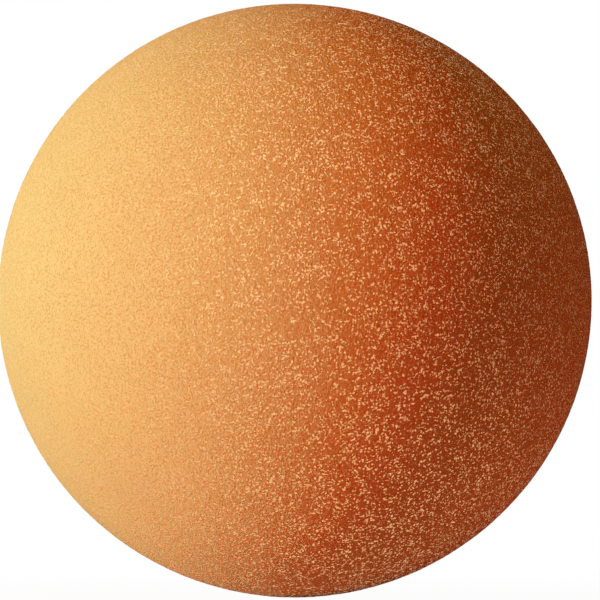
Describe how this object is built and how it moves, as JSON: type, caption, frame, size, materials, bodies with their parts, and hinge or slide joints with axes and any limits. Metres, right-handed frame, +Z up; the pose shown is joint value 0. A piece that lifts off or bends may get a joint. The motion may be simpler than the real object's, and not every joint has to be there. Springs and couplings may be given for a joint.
{
  "type": "table football ball",
  "caption": "Small solid ball for table football: a hard core inside a matt, finely textured grippy cover of bonded half-cups.",
  "frame": {"origin": "centre of the ball", "axes": "+Z up, +Y along the axis that the half-cups close on, away from the side that the picture shows"},
  "size_m": [0.035, 0.035, 0.035],
  "materials": {
    "core_plastic": "hard pale plastic, smooth, out of sight",
    "cover_rubber": "soft matt orange with a fine moulded grain"
  },
  "bodies": {
    "root": {"core": "core_plastic", "front_cover": "cover_rubber", "rear_cover": "cover_rubber"}
  },
  "joints": []
}
